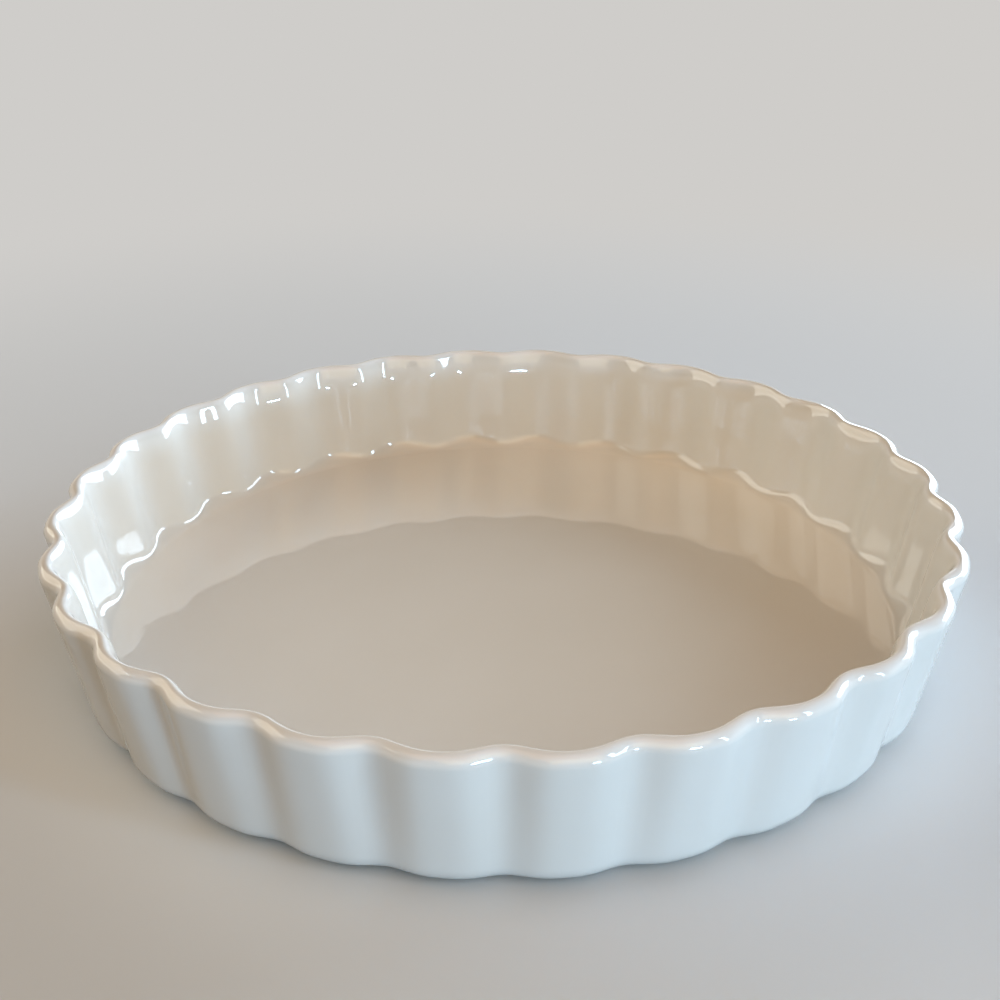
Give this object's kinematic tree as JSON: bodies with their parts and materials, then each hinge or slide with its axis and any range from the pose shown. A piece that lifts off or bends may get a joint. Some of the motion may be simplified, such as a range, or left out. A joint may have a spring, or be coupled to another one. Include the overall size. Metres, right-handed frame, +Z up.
{
  "type": "ceramic baking dish",
  "caption": "Round, shallow, fluted white ceramic dish with a rounded lip and a bare foot ring, for baking and serving tarts, flans and quiches.",
  "frame": {"origin": "on the table, under the middle of the dish", "axes": "+Z up along the axis of the dish; X and Y each pass through a groove between two flutes, and -Y faces the viewer of the picture"},
  "size_m": [0.2774, 0.2774, 0.0445],
  "materials": {
    "biscuit_clay": "bare fired clay, smooth and matt",
    "inside_glaze": "glossy white glaze",
    "outside_glaze": "glossy white glaze",
    "underside_glaze": "glossy white glaze"
  },
  "bodies": {
    "root": {"clay_body": "biscuit_clay", "inside_glaze": "inside_glaze", "outside_glaze": "outside_glaze", "underside_glaze": "underside_glaze"}
  },
  "joints": []
}
